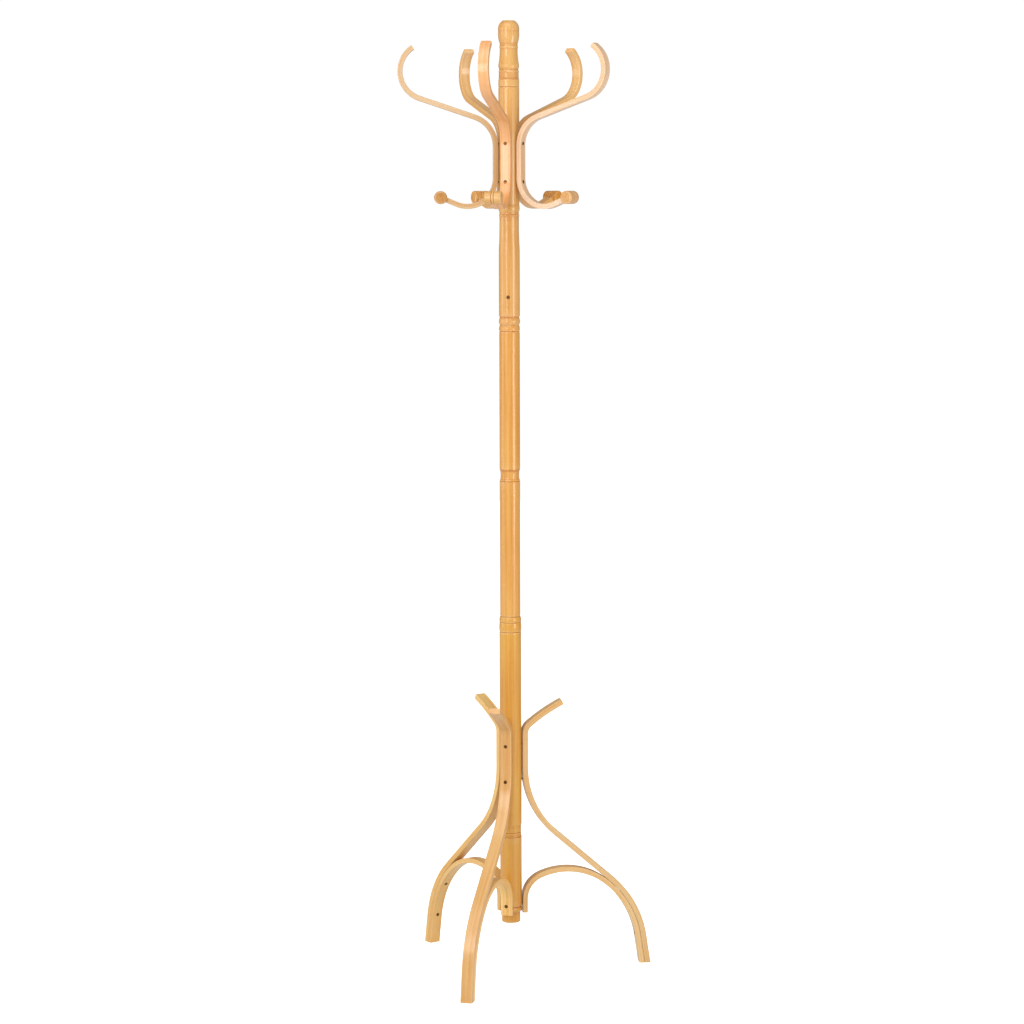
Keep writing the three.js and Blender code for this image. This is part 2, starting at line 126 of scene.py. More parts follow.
EDGE = mm(1.6)
EDGE_STEPS = 4
END_EDGE = mm(0.5)
SCREW_HEAD_RADIUS = mm(3.3)
SCREW_HEAD_DEPTH = mm(2.4)
SCREW_SHANK_RADIUS = mm(1.8)
SCREW_SUNK = mm(0.4)
SCREW_CLEARANCE = mm(0.25)
POLE_SCREW_LENGTH = mm(23)
BRACE_LEG_SCREW_LENGTH = mm(17)
RETAINER_LENGTH = mm(12)
SHORTEST_SCREW = mm(8)
SCREW_RIM = mm(0.5)
SCREW_POINT = mm(4)
SCREW_TIP_RADIUS = mm(0.4)
SCREW_SPIN = 2.4
RECESS_REACH = mm(2.1)
RECESS_WIDTH = mm(0.8)
RECESS_DEPTH = mm(1.1)

HOLE_HEAD_RADIUS = SCREW_HEAD_RADIUS + SCREW_CLEARANCE
HOLE_HEAD_DEPTH = SCREW_HEAD_DEPTH + SCREW_CLEARANCE
HOLE_SHANK_RADIUS = SCREW_SHANK_RADIUS + SCREW_CLEARANCE
HOLE_MOUTH = mm(4)
HOLE_BORE = mm(38)
HOLE_OVERLAP = mm(2)
FLOOR_SLAB = (1.2, 0.2, 0.2)
CLEAR_OF_FLOOR = mm(1)
BELOW_HEAD = mm(0.2)

# Under the retaining screw's head, where its countersink starts to narrow and where it ends.
SINK_TOP = mm(0.8)
SINK_FOOT = mm(2.7)

POLE_SIDES = 96
PEG_SIDES = 64
HOLE_SIDES = 32
SCREW_SIDES = 32
GROOVE_STEPS = 8
ROUND_STEPS = 6
ARC_STEP = math.radians(3)
RUN_STEP = mm(10)
LONGEST_RING_STEP = mm(14)
RIM = mm(0.8)
RELIEF_REACH = mm(1.4)
FULL_RELIEF = mm(0.45)
SHARP_ANGLE = math.radians(35)
END_ANGLE = math.radians(50)
BELOW_FLOOR = mm(14)
TINY = 1e-7

# From one hook or leg to the next, how far the grain moves on in the wood.
HOOK_GRAIN_STEP = Vector((0.31, 0.17, 0.9))
LEG_GRAIN_STEP = Vector((0.23, 0.41, 1.3))


# ------------------------------------------------------------------ camera, light and floor

CAMERA_PLACE = (0, -5.91, 1.535)
CAMERA_DOWN = math.radians(6.084)
CAMERA_ROLL = -0.0029
LENS = 107.46
SENSOR = 36
SENSOR_SHIFT = 0.00195
CLEAR_SIGHT = 60

# Each one's azimuth in degrees from -Y towards +X, distance from the pole, height, size and watts.
SOFTBOXES = {
    "left_softbox": (-31, 2.5, 1.72, (0.75, 1.2), 19),
    "right_softbox": (48, 2.5, 1.05, (0.65, 1.25), 19),
    "overhead_softbox": (-20, 1.8, 3.6, (2.6, 2.0), 34),
    "side_fill": (-85, 5.0, 1.4, (2.4, 2.4), 38),
}
LIGHT_AIM = Vector((0, 0, 0.95))
ROOM_LIGHT = 0.62
WHITE_SEEN = 1.02
WHITE_MIRRORED = 0.2
FLOOR_REACH = 9
FLOOR_GREY = 0.8
FLOOR_GLOW = 0.75
WHITE = (1, 1, 1, 1)


def add(obj):
    """Links an object into the scene."""
    bpy.context.scene.collection.objects.link(obj)
    return obj


def make_camera():
    """Eye height, a little under six metres away, looking slightly down."""
    data = bpy.data.cameras.new("camera")
    data.lens = LENS
    data.sensor_width = SENSOR
    data.shift_x = SENSOR_SHIFT
    data.clip_end = CLEAR_SIGHT
    camera = add(bpy.data.objects.new("camera", data))
    tilt = Matrix.Rotation(math.pi / 2 - CAMERA_DOWN, 4, "X")
    roll = Matrix.Rotation(CAMERA_ROLL, 4, "Z")
    camera.matrix_world = Matrix.Translation(CAMERA_PLACE) @ tilt @ roll
    bpy.context.scene.camera = camera


def softbox(name, azimuth, distance, height, size, watts):
    """An area light that is aimed at the middle of the pole."""
    data = bpy.data.lights.new(name, "AREA")
    data.shape = "RECTANGLE"
    data.size, data.size_y = size
    data.energy = watts
    turn = math.radians(azimuth)
    place = Vector((math.sin(turn) * distance, -math.cos(turn) * distance, height))
    light = add(bpy.data.objects.new(name, data))
    aim = LIGHT_AIM - place
    light.matrix_world = Matrix.Translation(place) @ aim.to_track_quat("-Z", "Y").to_matrix().to_4x4()


def make_world():
    """An even white room, brighter where the camera sees it and dimmer in reflections."""
    world = bpy.data.worlds.new("studio")
    world.use_nodes = True
    make = Maker(world.node_tree)
    backdrop = world.node_tree.nodes["Background"]
    backdrop.inputs["Color"].default_value = WHITE
    ray = make.node("ShaderNodeLightPath").outputs
    seen = make.math("MULTIPLY", ray["Is Camera Ray"], WHITE_SEEN - ROOM_LIGHT)
    mirrored = make.math("MULTIPLY", ray["Is Glossy Ray"], WHITE_MIRRORED - ROOM_LIGHT)
    extra = make.math("ADD", seen, mirrored)
    make.feed(backdrop.inputs["Strength"], make.math("ADD", extra, ROOM_LIGHT))
    bpy.context.scene.world = world


def make_floor():
    """A wide pale floor that glows where the camera sees it, so that it meets the backdrop."""
    corners = [(x * FLOOR_REACH, y * FLOOR_REACH, 0) for x, y in ((-1, -1), (1, -1), (1, 1), (-1, 1))]
    mesh = bpy.data.meshes.new("floor")
    mesh.from_pydata(corners, [], [(0, 1, 2, 3)])
    material, make, shader = new_material("pale_floor")
    shader.inputs["Base Color"].default_value = (FLOOR_GREY, FLOOR_GREY, FLOOR_GREY, 1)
    shader.inputs["Roughness"].default_value = 0.8
    shader.inputs["Specular IOR Level"].default_value = 0.1
    shader.inputs["Emission Color"].default_value = WHITE
    ray = make.node("ShaderNodeLightPath").outputs
    seen = make.math("MULTIPLY", ray["Is Camera Ray"], FLOOR_GLOW)
    make.feed(shader.inputs["Emission Strength"], seen)
    mesh.materials.append(material)
    add(bpy.data.objects.new("floor", mesh))


def make_studio():
    make_camera()
    make_world()
    for name, settings in SOFTBOXES.items():
        softbox(name, *settings)
    make_floor()
    bpy.context.scene.view_settings.view_transform = "Standard"


# ------------------------------------------------------------------ node helpers

def new_tree(name, kind, inputs, outputs):
    """A node group with named sockets, each given as (type, name) or (type, name, value)."""
    tree = bpy.data.node_groups.new(name, kind)
    for direction, sockets in (("INPUT", inputs), ("OUTPUT", outputs)):
        for socket_type, socket_name, *value in sockets:
            socket = tree.interface.new_socket(
                socket_name, in_out=direction, socket_type="NodeSocket" + socket_type
            )
            if value:
                socket.default_value = value[0]
    return tree


class Maker:
    """Adds nodes to a tree and links what they are given."""

    def __init__(self, tree):
        self.tree = tree

    def node(self, kind, inputs=None, **settings):
        node = self.tree.nodes.new(kind)
        for key, value in settings.items():
            setattr(node, key, value)
        self.feed_all(node, inputs or {})
        return node

    def feed(self, socket, value):
        if isinstance(value, (bpy.types.NodeSocket, bpy.types.Node)):
            source = value.outputs[0] if isinstance(value, bpy.types.Node) else value
            self.tree.links.new(source, socket)
        else:
            socket.default_value = value

    def feed_all(self, node, values):
        for key, value in values.items():
            self.feed(node.inputs[key], value)

    def join(self, socket, *shapes):
        """Links several shapes to one socket."""
        for shape in shapes:
            self.tree.links.new(shape.outputs[0], socket)

    def math(self, operation, *values, clamp=False):
        node = self.node("ShaderNodeMath", operation=operation, use_clamp=clamp)
        for socket, value in zip(node.inputs, values):
            self.feed(socket, value)
        return node.outputs[0]

    def vector(self, operation, *values):
        node = self.node("ShaderNodeVectorMath", operation=operation)
        for socket, value in zip(node.inputs, values):
            self.feed(socket, value)
        return node.outputs[0]

    def scaled(self, value, factor, offset=0.0):
        return self.math("MULTIPLY_ADD", value, factor, offset)

    def ramp(self, value, low, high):
        """Value carried smoothly from 0 at low to 1 at high."""
        inputs = {0: value, 1: low, 2: high}
        return self.node("ShaderNodeMapRange", inputs, interpolation_type="SMOOTHSTEP").outputs[0]

    def noise(self, place, scale, detail=2.0, roughness=0.5, distortion=0.0):
        """Noise on a place that is stretched by a scale along each axis."""
        return self.node("ShaderNodeTexNoise", {
            "Vector": self.vector("MULTIPLY", place, scale), "Scale": 1.0,
            "Detail": detail, "Roughness": roughness, "Distortion": distortion,
        }).outputs[0]

    def bump(self, height, strength, distance):
        inputs = {"Height": height, "Strength": strength, "Distance": distance}
        return self.node("ShaderNodeBump", inputs)

    def group(self, name, values):
        """A shader group with its own values."""
        return self.node("ShaderNodeGroup", values, node_tree=GROUPS[name]).outputs

    def xyz(self, **parts):
        return self.node("ShaderNodeCombineXYZ", parts).outputs[0]

    def parts(self, vector):
        return self.node("ShaderNodeSeparateXYZ", {"Vector": vector}).outputs

    def read(self, name, kind="FLOAT"):
        """A stored attribute of the geometry."""
        return self.node("GeometryNodeInputNamedAttribute", {"Name": name}, data_type=kind).outputs[0]

    def store(self, geometry, name, value, kind="FLOAT", domain="POINT"):
        values = {"Geometry": geometry, "Name": name, "Value": value}
        return self.node("GeometryNodeStoreNamedAttribute", values, data_type=kind, domain=domain)

    def blend(self, share, first, second, how="MIX"):
        """Two colours mixed by a share of the second."""
        inputs = {0: share, 6: first, 7: second}
        return self.node("ShaderNodeMix", inputs, data_type="RGBA", blend_type=how).outputs[2]


# ------------------------------------------------------------------ shader groups

def make_beech_grain():
    """Beech on coordinates that run x and y across the grain and z along it, in metres."""
    tree = new_tree(
        "beech_grain", "ShaderNodeTree",
        [
            ("Vector", "Grain"), ("Color", "Pale"), ("Color", "Deep"),
            ("Float", "Streaks", 0.5), ("Float", "Flecks", 0.4), ("Float", "Cloud", 0.5),
        ],
        [("Color", "Color"), ("Float", "Height"), ("Float", "Gloss Break")],
    )
    make = Maker(tree)
    given = make.node("NodeGroupInput").outputs

    broad = make.noise(given["Grain"], (150, 150, 3.0), 3, 0.5, 0.4)
    fine = make.noise(given["Grain"], (520, 520, 8.0), 1)
    cloud = make.noise(given["Grain"], (16, 16, 4.2))
    fleck = make.noise(given["Grain"], (900, 900, 150), 1, 0.4)
    streak = make.math("ADD", make.math("MULTIPLY", broad, 0.62), make.math("MULTIPLY", fine, 0.38))
    streak = make.ramp(streak, 0.36, 0.66)
    drift = make.ramp(cloud, 0.3, 0.7)
    flecks = make.ramp(fleck, 0.6, 0.72)
    amount = make.math("MULTIPLY", streak, given["Streaks"])
    amount = make.math("ADD", amount, make.math("MULTIPLY", drift, given["Cloud"]))
    amount = make.math("ADD", amount, make.math("MULTIPLY", flecks, given["Flecks"]), clamp=True)
    colour = make.blend(amount, given["Pale"], given["Deep"])
    height = make.math("SUBTRACT", fine, make.math("MULTIPLY", flecks, 0.25))
    gloss = make.math("ADD", make.math("MULTIPLY", fine, 0.5), make.math("MULTIPLY", flecks, 0.5))
    make.node("NodeGroupOutput", {"Color": colour, "Height": height, "Gloss Break": gloss})
    return tree


def make_wear_and_hollow_shade():
    """Edges rubbed pale by wear, and painted shade that darkens the grooves and hollows."""
    tree = new_tree(
        "wear_and_hollow_shade", "ShaderNodeTree",
        [
            ("Vector", "Grain"), ("Color", "Color"), ("Float", "Arris"), ("Float", "Hollow"),
            ("Color", "Rubbed"), ("Color", "Gathered"), ("Float", "Rub", 0.5), ("Float", "Gather", 0.6),
        ],
        [("Color", "Color"), ("Float", "Rubbed Mask")],
    )
    make = Maker(tree)
    given = make.node("NodeGroupInput").outputs
    broken = make.ramp(make.noise(given["Grain"], (70, 70, 14), 2, 0.6), 0.34, 0.62)
    worn = make.math("MULTIPLY", broken, given["Rub"])
    rubbed = make.math("MULTIPLY", given["Arris"], worn, clamp=True)
    # painted shade: grooves and hollows are darkened by how deep they sink
    hollow_shade = make.math("MULTIPLY", given["Hollow"], given["Gather"], clamp=True)
    colour = make.blend(rubbed, given["Color"], given["Rubbed"])
    colour = make.blend(hollow_shade, colour, given["Gathered"], "MULTIPLY")
    make.node("NodeGroupOutput", {"Color": colour, "Rubbed Mask": rubbed})
    return tree


def make_metal_scuff():
    """Small scratches and darkened patches on metal."""
    tree = new_tree(
        "metal_scuff", "ShaderNodeTree",
        [("Color", "Bright"), ("Color", "Dark"), ("Float", "Size", 900.0)],
        [("Color", "Color"), ("Float", "Roughness"), ("Float", "Height")],
    )
    make = Maker(tree)
    given = make.node("NodeGroupInput").outputs
    place = make.node("ShaderNodeTexCoord").outputs["Object"]
    patches = make.node("ShaderNodeTexNoise", {"Vector": place, "Scale": given["Size"], "Detail": 4})
    scratch = make.noise(place, (9000, 700, 2500), 1)
    dark = make.ramp(patches, 0.4, 0.65)
    colour = make.blend(dark, given["Bright"], given["Dark"])
    rough = make.math("ADD", make.math("MULTIPLY", dark, 0.25), 0.32)
    make.node("NodeGroupOutput", {"Color": colour, "Roughness": rough, "Height": scratch})
    return tree


# ------------------------------------------------------------------ materials

def srgb(red, green, blue):
    """A colour from 8-bit display values."""
    def linear(value):
        value /= 255
        return value / 12.92 if value <= 0.04045 else ((value + 0.055) / 1.055) ** 2.4
    return linear(red), linear(green), linear(blue), 1


# A tone's share of each colour in the pale wood and in the streaks.
PALER = (1.06, 1.16, 1.4)
DEEPER = (0.9, 0.72, 0.45)
RUBBED_PALE = srgb(250, 218, 172)
# The colour of the painted shade in the grooves and hollows.
HOLLOW_SHADE_TONE = srgb(224, 168, 104)
# Bare wood, painted dark as the shade inside screw holes and mortises.
BARE_IN_SHADE_PALE = srgb(170, 112, 60)
BARE_IN_SHADE_DEEP = srgb(110, 66, 32)
BRONZE_BRIGHT = srgb(150, 104, 52)
BRONZE_DARK = srgb(84, 54, 26)


def shade_of(tone, shares):
    return tuple(part * share for part, share in zip(tone, shares)) + (1,)


def named(make, attribute, output):
    return make.node("ShaderNodeAttribute", attribute_name=attribute).outputs[output]


def new_material(name):
    material = bpy.data.materials.new(name)
    material.use_nodes = True
    return material, Maker(material.node_tree), material.node_tree.nodes["Principled BSDF"]


def lacquered_beech(name, tone):
    """Beech under clear lacquer, its streaks a deeper shade of its tone."""
    material, make, shader = new_material(name)
    grain = named(make, "grain", "Vector")
    wood = make.group("beech_grain", {
        "Grain": grain, "Pale": shade_of(tone, PALER), "Deep": shade_of(tone, DEEPER),
        "Streaks": 0.6, "Flecks": 0.3, "Cloud": 0.5,
    })
    # the wear group rubs the edges pale and paints shade into the grooves and hollows
    worn = make.group("wear_and_hollow_shade", {
        "Grain": grain, "Color": wood["Color"], "Arris": named(make, "arris", "Fac"),
        "Hollow": named(make, "hollow", "Fac"), "Rubbed": RUBBED_PALE, "Gathered": HOLLOW_SHADE_TONE,
        "Rub": 0.3, "Gather": 0.7,
    })
    rough = make.scaled(wood["Gloss Break"], 0.16, 0.34)
    make.feed_all(shader, {
        "Base Color": worn["Color"],
        "Roughness": make.math("ADD", rough, make.scaled(worn["Rubbed Mask"], 0.15)),
        "Normal": make.bump(wood["Height"], 0.1, mm(0.15)),
        "Coat Weight": 0.5,
        "Coat Roughness": 0.16,
    })
    return material


def bare_beech_in_shade():
    """Bare wood on the wall of a screw hole, painted dark as the shade inside the hole."""
    material, make, shader = new_material("bare_beech_in_shade")
    place = make.node("ShaderNodeTexCoord").outputs["Object"]
    wood = make.group("beech_grain", {"Grain": place, "Pale": BARE_IN_SHADE_PALE, "Deep": BARE_IN_SHADE_DEEP})
    make.feed_all(shader, {
        "Base Color": wood["Color"],
        "Roughness": make.scaled(wood["Gloss Break"], 0.2, 0.7),
        "Normal": make.bump(wood["Height"], 0.3, mm(0.3)),
    })
    return material


def bronzed_steel():
    """Steel screws with a dark bronze finish."""
    material, make, shader = new_material("bronzed_steel")
    scuff = make.group("metal_scuff", {"Bright": BRONZE_BRIGHT, "Dark": BRONZE_DARK})
    make.feed_all(shader, {
        "Base Color": scuff["Color"],
        "Roughness": scuff["Roughness"],
        "Normal": make.bump(scuff["Height"], 0.15, mm(0.1)),
        "Metallic": 0.9,
    })
    return material


GROUPS = {group.name: group for group in (make_beech_grain(), make_wear_and_hollow_shade(), make_metal_scuff())}
# The tone of each piece of wood, partly its own: the stock is mixed, and some pieces are paler than
# others. Partly painted light: each tone is also made lighter or darker for the light, shade and sheen
# that fall on that piece.
TONES = {
    "pole_bottom": (0.673, 0.329, 0.040),
    "pole_middle": (0.704, 0.352, 0.069),
    "pole_top": (0.699, 0.378, 0.102),
    "hook_left": (0.674, 0.441, 0.223),
    "hook_front": (0.812, 0.414, 0.162),
    "hook_front_right": (0.831, 0.580, 0.365),
    "hook_back_right": (0.806, 0.460, 0.155),
    "hook_back_left": (0.792, 0.501, 0.216),
    "peg_left": (0.532, 0.252, 0.059),
    "peg_front": (0.665, 0.387, 0.119),
    "peg_front_right": (0.650, 0.340, 0.109),
    "peg_back_right": (0.649, 0.275, 0.020),
    "peg_back_left": (0.759, 0.398, 0.102),
    "leg_front": (0.689, 0.384, 0.123),
    "leg_right": (0.702, 0.455, 0.190),
    "leg_left": (0.791, 0.503, 0.158),
    "brace_front": (0.874, 0.560, 0.183),
    "brace_right": (0.738, 0.484, 0.200),
    "brace_left": (0.786, 0.471, 0.143),
}
BEECH = {piece: lacquered_beech(f"{piece}_beech", tone) for piece, tone in TONES.items()}
# bare wood for the walls of holes, painted dark as their shade
BARE_BEECH_IN_SHADE = bare_beech_in_shade()
BRONZED_STEEL = bronzed_steel()


# ------------------------------------------------------------------ places

def azimuth_of(node):
    """The azimuth of a CAD node that is even on both sides of its own upright plane."""
    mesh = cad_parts[node].data
    mesh.calc_loop_triangles()
    centre = sum((face.center * face.area for face in mesh.polygons), Vector())
    return math.degrees(math.atan2(centre.x, -centre.y))


def station(azimuth):
    """Turns a station frame's x axis to an azimuth."""
    return Matrix.Rotation(math.radians(azimuth - 90), 4, "Z")


def stand_in(name, mesh, body, nodes):
    """Adds a piece that stands for CAD nodes and rides on their body."""
    piece = add(bpy.data.objects.new(name, mesh))
    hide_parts(*nodes)
    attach(piece, body)


def settled(obj):
    """The object's mesh with its modifiers applied. The object itself goes."""
    depsgraph = bpy.context.evaluated_depsgraph_get()
    mesh = bpy.data.meshes.new_from_object(
        obj.evaluated_get(depsgraph), preserve_all_data_layers=True, depsgraph=depsgraph
    )
    bpy.data.objects.remove(obj)
    return mesh


def shade(mesh):
    """Smooth faces, with sharp edges past an angle."""
    for face in mesh.polygons:
        face.use_smooth = True
    mesh.set_sharp_from_angle(angle=SHARP_ANGLE)


def put(mesh, attribute, values, kind="FLOAT"):
    """Stores one value a point."""
    layer = mesh.attributes.get(attribute) or mesh.attributes.new(attribute, kind, "POINT")
    if kind == "FLOAT":
        layer.data.foreach_set("value", values)
    else:
        layer.data.foreach_set("vector", [c for value in values for c in value])


def shift_grain(mesh, offset):
    """Moves the grain pattern, so that pieces of one shape come from different wood."""
    for item in mesh.attributes["grain"].data:
        item.vector = Vector(item.vector) + offset


# ------------------------------------------------------------------ turning

def bow(start, end, bulge, steps=8):
    """A curve whose middle stands off the chord, outward on a stretch that goes up."""
    (r0, z0), (r1, z1) = start, end
    chord = Vector((r1 - r0, z1 - z0))
    side = Vector((chord.y, -chord.x)).normalized() * 2 * bulge
    middle = Vector(((r0 + r1) / 2, (z0 + z1) / 2)) + side
    points = []
    for step in range(1, steps + 1):
        t = step / steps
        r = (1 - t) ** 2 * r0 + 2 * t * (1 - t) * middle.x + t * t * r1
        z = (1 - t) ** 2 * z0 + 2 * t * (1 - t) * middle.y + t * t * z1
        points.append((r, z))
    return points


def groove(radius, z):
    """A groove with rounded lips."""
    points = []
    for step in range(GROOVE_STEPS + 1):
        t = 2 * step / GROOVE_STEPS - 1
        sunk = GROOVE_DEPTH * (0.5 + 0.5 * math.cos(math.pi * t)) ** 1.3
        points.append((radius - sunk, z + t * GROOVE_HALF))
    return points


def bottom_profile():
    """A stepped foot, two bands of grooves and a collar, with the tenon above."""
    base, joint, radius = POLE_BASE, LOWER_JOINT, BOTTOM_RADIUS
    tenon_top = joint + TENON_LENGTH
    at = lambda less, rise: (radius - mm(less), base + mm(rise))
    below = lambda less, drop: (radius - mm(less), joint - mm(drop))
    foot = (FOOT_RADIUS - mm(2), base)
    return [
        (0, base), foot, *bow(foot, (FOOT_RADIUS, base + mm(3)), mm(0.7)),
        (FOOT_RADIUS, base + mm(20)),
        at(1.6, 22), *bow(at(1.6, 22), at(1.6, 30), mm(1.4)), at(1.6, 31.5), at(0, 33),
        *groove(radius, base + mm(171)), at(0.9, 174), at(0.9, 178),
        *groove(radius - mm(0.9), base + mm(180)),
        at(0.9, 193), at(0, 197),
        below(0, 34), *groove(radius, joint - mm(30)), *bow(below(0, 28), below(0, 13.2), mm(0.5)),
        *groove(radius, joint - mm(11)), *bow(below(0, 9), below(1.4, 0), mm(0.8)),
        (TENON_RADIUS, joint), (TENON_RADIUS, tenon_top - mm(2)),
        (TENON_RADIUS - mm(2), tenon_top), (0, tenon_top),
    ]


def middle_profile():
    """Bored below for the tenon, with a recess between grooves, and the spigot above."""
    base, joint, radius = LOWER_JOINT + GAP, CROWN_JOINT, MIDDLE_RADIUS
    bore_top = LOWER_JOINT + TENON_LENGTH + BORE_END_ROOM
    recess = LOWER_JOINT + mm(265)
    recess_high = recess + mm(22.8)
    retainer = joint + RETAINER_RISE
    spigot_top = joint + SPIGOT_LENGTH
    bore = TENON_RADIUS + GAP
    hollow = radius - mm(1.1)
    return [
        (0, bore_top), (bore, bore_top), (bore, base),
        (radius - mm(1.2), base), *bow((radius - mm(1.2), base), (radius, base + mm(4)), mm(0.4)),
        *groove(radius, recess),
        *bow((hollow, recess + mm(2)), (hollow, recess_high - mm(2)), -mm(0.7)),
        *groove(radius, recess_high),
        (radius, joint - mm(14)), *groove(radius, joint - mm(11.6)),
        *bow((radius, joint - mm(9.5)), (radius - mm(1), joint - GAP), mm(0.7)),
        (SPIGOT_RADIUS, joint - GAP), (SPIGOT_RADIUS, retainer - RETAINER_SLOT),
        (RETAINER_SLOT_RADIUS, retainer - RETAINER_SLOT), (RETAINER_SLOT_RADIUS, retainer + RETAINER_SLOT),
        (SPIGOT_RADIUS, retainer + RETAINER_SLOT), (SPIGOT_RADIUS, spigot_top - mm(2)),
        (SPIGOT_RADIUS - mm(2), spigot_top), (0, spigot_top),
    ]


def top_profile():
    """Bored below for the spigot, then a collar, a long plain shaft, the neck and the ball."""
    joint, top, radius = CROWN_JOINT, POLE_TOP, TOP_RADIUS
    bore = SPIGOT_RADIUS + SPIGOT_CLEARANCE
    bore_top = joint + SPIGOT_LENGTH + BORE_END_ROOM
    at = lambda less, rise: (radius - mm(less), joint + mm(rise))
    below = lambda less, drop: (radius - mm(less), top - mm(drop))
    neck = lambda drop: (NECK_RADIUS, top - mm(drop))
    crest = (BALL_RADIUS, top - mm(20))
    return [
        (0, bore_top), (bore, bore_top), (bore, joint + mm(1)), (bore + mm(1), joint),
        at(1.6, 0), *bow(at(1.6, 0), at(1, 14.5), mm(1.7)), at(1, 16.5),
        at(-0.2, 18.5), below(-0.2, 438),
        *bow(below(-0.2, 438), below(1.2, 400), -mm(0.2)), below(1.2, 373.5),
        below(0.1, 371), below(1.4, 369), below(1.4, 365), *bow(below(1.4, 365), below(0.4, 351), mm(1.2)),
        below(0.2, 349), below(0, 128.4), *groove(radius, top - mm(126.1)),
        below(0, 114), *groove(radius, top - mm(111.3)),
        below(1, 109), below(1, 98.5), below(0.4, 97),
        below(1.9, 92.8), *bow(below(1.9, 92.8), below(0.2, 84), mm(0.6)),
        *bow(below(0.2, 84), neck(57), -mm(0.6)), neck(53), *bow(neck(53), neck(47.8), mm(0.7)), neck(44),
        *bow(neck(44), crest, mm(1.4)), *bow(crest, (0.56 * BALL_RADIUS, top), mm(3.6), 12), (0, top),
    ]


def peg_profile():
    """A cylinder with rounded, slightly domed ends and two fine rings at its middle."""
    half = PEG_LENGTH / 2

    def end(sign):
        points = [(0, sign * half), (PEG_RADIUS - PEG_ROUND, sign * (half - PEG_DOME))]
        for step in range(1, ROUND_STEPS + 1):
            turn = math.pi / 2 * step / ROUND_STEPS
            fall = PEG_DOME + (PEG_ROUND - PEG_DOME) * (1 - math.cos(turn))
            points.append((PEG_RADIUS - PEG_ROUND * (1 - math.sin(turn)), sign * (half - fall)))
        return points

    ring = PEG_RING_SPREAD / 2
    return [*end(-1), *groove(PEG_RADIUS, -ring), *groove(PEG_RADIUS, ring), *reversed(end(1))]


def refined(profile):
    """The profile with long stretches divided, and a point close to each of their ends."""
    points = [profile[0]]
    for start, end in zip(profile, profile[1:]):
        a, b = Vector(start), Vector(end)
        length = (b - a).length
        if length < TINY:
            continue
        if length > 4 * RIM:
            inner = length - 2 * RIM
            count = max(1, math.ceil(inner / LONGEST_RING_STEP))
            shares = [(RIM + inner * step / count) / length for step in range(count + 1)]
            points += [tuple(a.lerp(b, share)) for share in shares]
        points.append(end)
    return points


def relief(profile):
    """How far each point stands proud of, or under, the profile close by: -1 to 1."""
    points = [Vector(p) for p in profile]
    lengths = [0.0]
    for a, b in zip(points, points[1:]):
        lengths.append(lengths[-1] + (b - a).length)

    def at(length):
        length = min(max(length, 0), lengths[-1])
        for i in range(1, len(points)):
            if lengths[i] >= length:
                share = (length - lengths[i - 1]) / max(lengths[i] - lengths[i - 1], 1e-9)
                return points[i - 1].lerp(points[i], share)
        return points[-1]

    result = []
    for point, length in zip(points, lengths):
        before, after = at(length - RELIEF_REACH), at(length + RELIEF_REACH)
        chord = after - before
        outward = Vector((chord.y, -chord.x)).normalized()
        proud = (point - (before + after) / 2).dot(outward) / FULL_RELIEF
        result.append(max(-1, min(1, proud)))
    return result


def turned(name, profile, sides, material):
    """A lathe-turned mesh about Z, closed at both ends, with its grain along Z."""
    profile = refined(profile)
    heights = relief(profile)
    points, faces, proud, rings = [], [], [], []
    for (radius, z), height in zip(profile, heights):
        count = 1 if radius < TINY else sides
        rings.append(range(len(points), len(points) + count))
        for side in range(count):
            turn = 2 * math.pi * side / sides
            points.append((radius * math.cos(turn), radius * math.sin(turn), z))
            proud.append(height)
    for low, high in zip(rings, rings[1:]):
        for side in range(sides):
            after = (side + 1) % sides
            a, b = low[side % len(low)], low[after % len(low)]
            c, d = high[after % len(high)], high[side % len(high)]
            faces.append(tuple(dict.fromkeys((a, b, c, d))))
    mesh = bpy.data.meshes.new(name)
    mesh.from_pydata(points, [], faces)
    mesh.materials.append(material)
    put(mesh, "grain", points, "FLOAT_VECTOR")
    put(mesh, "arris", [max(0, value) for value in proud])
    put(mesh, "hollow", [max(0, -value) for value in proud])
    shade(mesh)
    return mesh


def carved(mesh, cutter):
    """A turned mesh with another one cut out of it. The cut faces keep the cutter's material."""
    body = add(bpy.data.objects.new("body", mesh))
    tool = add(bpy.data.objects.new("tool", cutter))
    cut = body.modifiers.new("cut", "BOOLEAN")
    cut.operation = "DIFFERENCE"
    cut.solver = "EXACT"
    cut.object = tool
    cut.material_mode = "TRANSFER"
    result = settled(body)
    bpy.data.objects.remove(tool)
    put(result, "grain", [tuple(vertex.co) for vertex in result.vertices], "FLOAT_VECTOR")
    shade(result)
    return result


# ------------------------------------------------------------------ bent strips

def walk(start, heading, moves):
    """Points (x, z, heading) along ("run", length) and ("bend", radius, degrees) moves."""
    x, z = start
    heading = math.radians(heading)
    points = [(x, z, heading)]
    for kind, size, *turn in moves:
        if kind == "run":
            steps = max(1, math.ceil(size / RUN_STEP))
            for _ in range(steps):
                x += size / steps * math.cos(heading)
                z += size / steps * math.sin(heading)
                points.append((x, z, heading))
            continue
        turn = math.radians(turn[0])
        hand = math.copysign(1, turn)
        centre_x = x - hand * size * math.sin(heading)
        centre_z = z + hand * size * math.cos(heading)
        steps = math.ceil(abs(turn) / ARC_STEP)
        begin = heading
        for step in range(1, steps + 1):
            heading = begin + turn * step / steps
            x = centre_x + hand * size * math.sin(heading)
            z = centre_z - hand * size * math.cos(heading)
            points.append((x, z, heading))
    return points


def backward(points):
    """The path walked the other way."""
    return [(x, z, heading + math.pi) for x, z, heading in reversed(points)]


